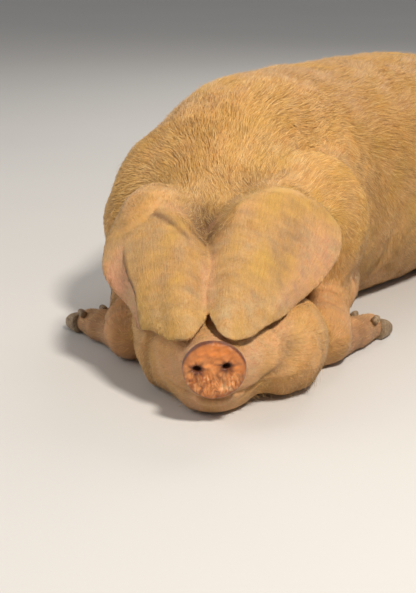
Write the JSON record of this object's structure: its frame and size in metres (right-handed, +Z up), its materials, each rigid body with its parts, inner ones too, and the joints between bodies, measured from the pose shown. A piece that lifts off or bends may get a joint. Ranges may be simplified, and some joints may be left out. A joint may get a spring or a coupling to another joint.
{
  "type": "pig",
  "caption": "Adult lop-eared pale pig lying on its brisket, chin on the ground, head turned to its left, forelegs folded, ears hanging over its eyes.",
  "frame": {"origin": "on the ground under the middle of the pig's bounding box", "axes": "-Y the way the trunk faces, +X the pig's left, +Z up; the head is turned 38 degrees to the left"},
  "size_m": [0.8231, 1.6878, 0.5098],
  "materials": {
    "hide": "dusty pale skin under thin straw-coloured bristle",
    "ear_hide": "short velvety hair, dusty, pink where bare",
    "snout_skin": "bare, slightly moist, soiled",
    "eye": "wet dark brown",
    "horn": "dull horn, worn at the toe"
  },
  "bodies": {
    "root": {"trunk": "hide", "neck": "hide", "head": "hide", "leg_front_left": "hide", "leg_front_right": "hide", "leg_hind_left": "hide", "leg_hind_right": "hide", "ear_left": "ear_hide", "ear_right": "ear_hide", "tail": "hide", "snout": "snout_skin", "eye_left": "eye", "eye_right": "eye", "hoof_front_left_a": "horn", "dewclaw_front_left_a": "horn", "hoof_front_left_b": "horn", "dewclaw_front_left_b": "horn", "hoof_front_right_a": "horn", "dewclaw_front_right_a": "horn", "hoof_front_right_b": "horn", "dewclaw_front_right_b": "horn", "hoof_hind_left_a": "horn", "dewclaw_hind_left_a": "horn", "hoof_hind_left_b": "horn", "dewclaw_hind_left_b": "horn", "hoof_hind_right_a": "horn", "dewclaw_hind_right_a": "horn", "hoof_hind_right_b": "horn", "dewclaw_hind_right_b": "horn"}
  },
  "joints": []
}
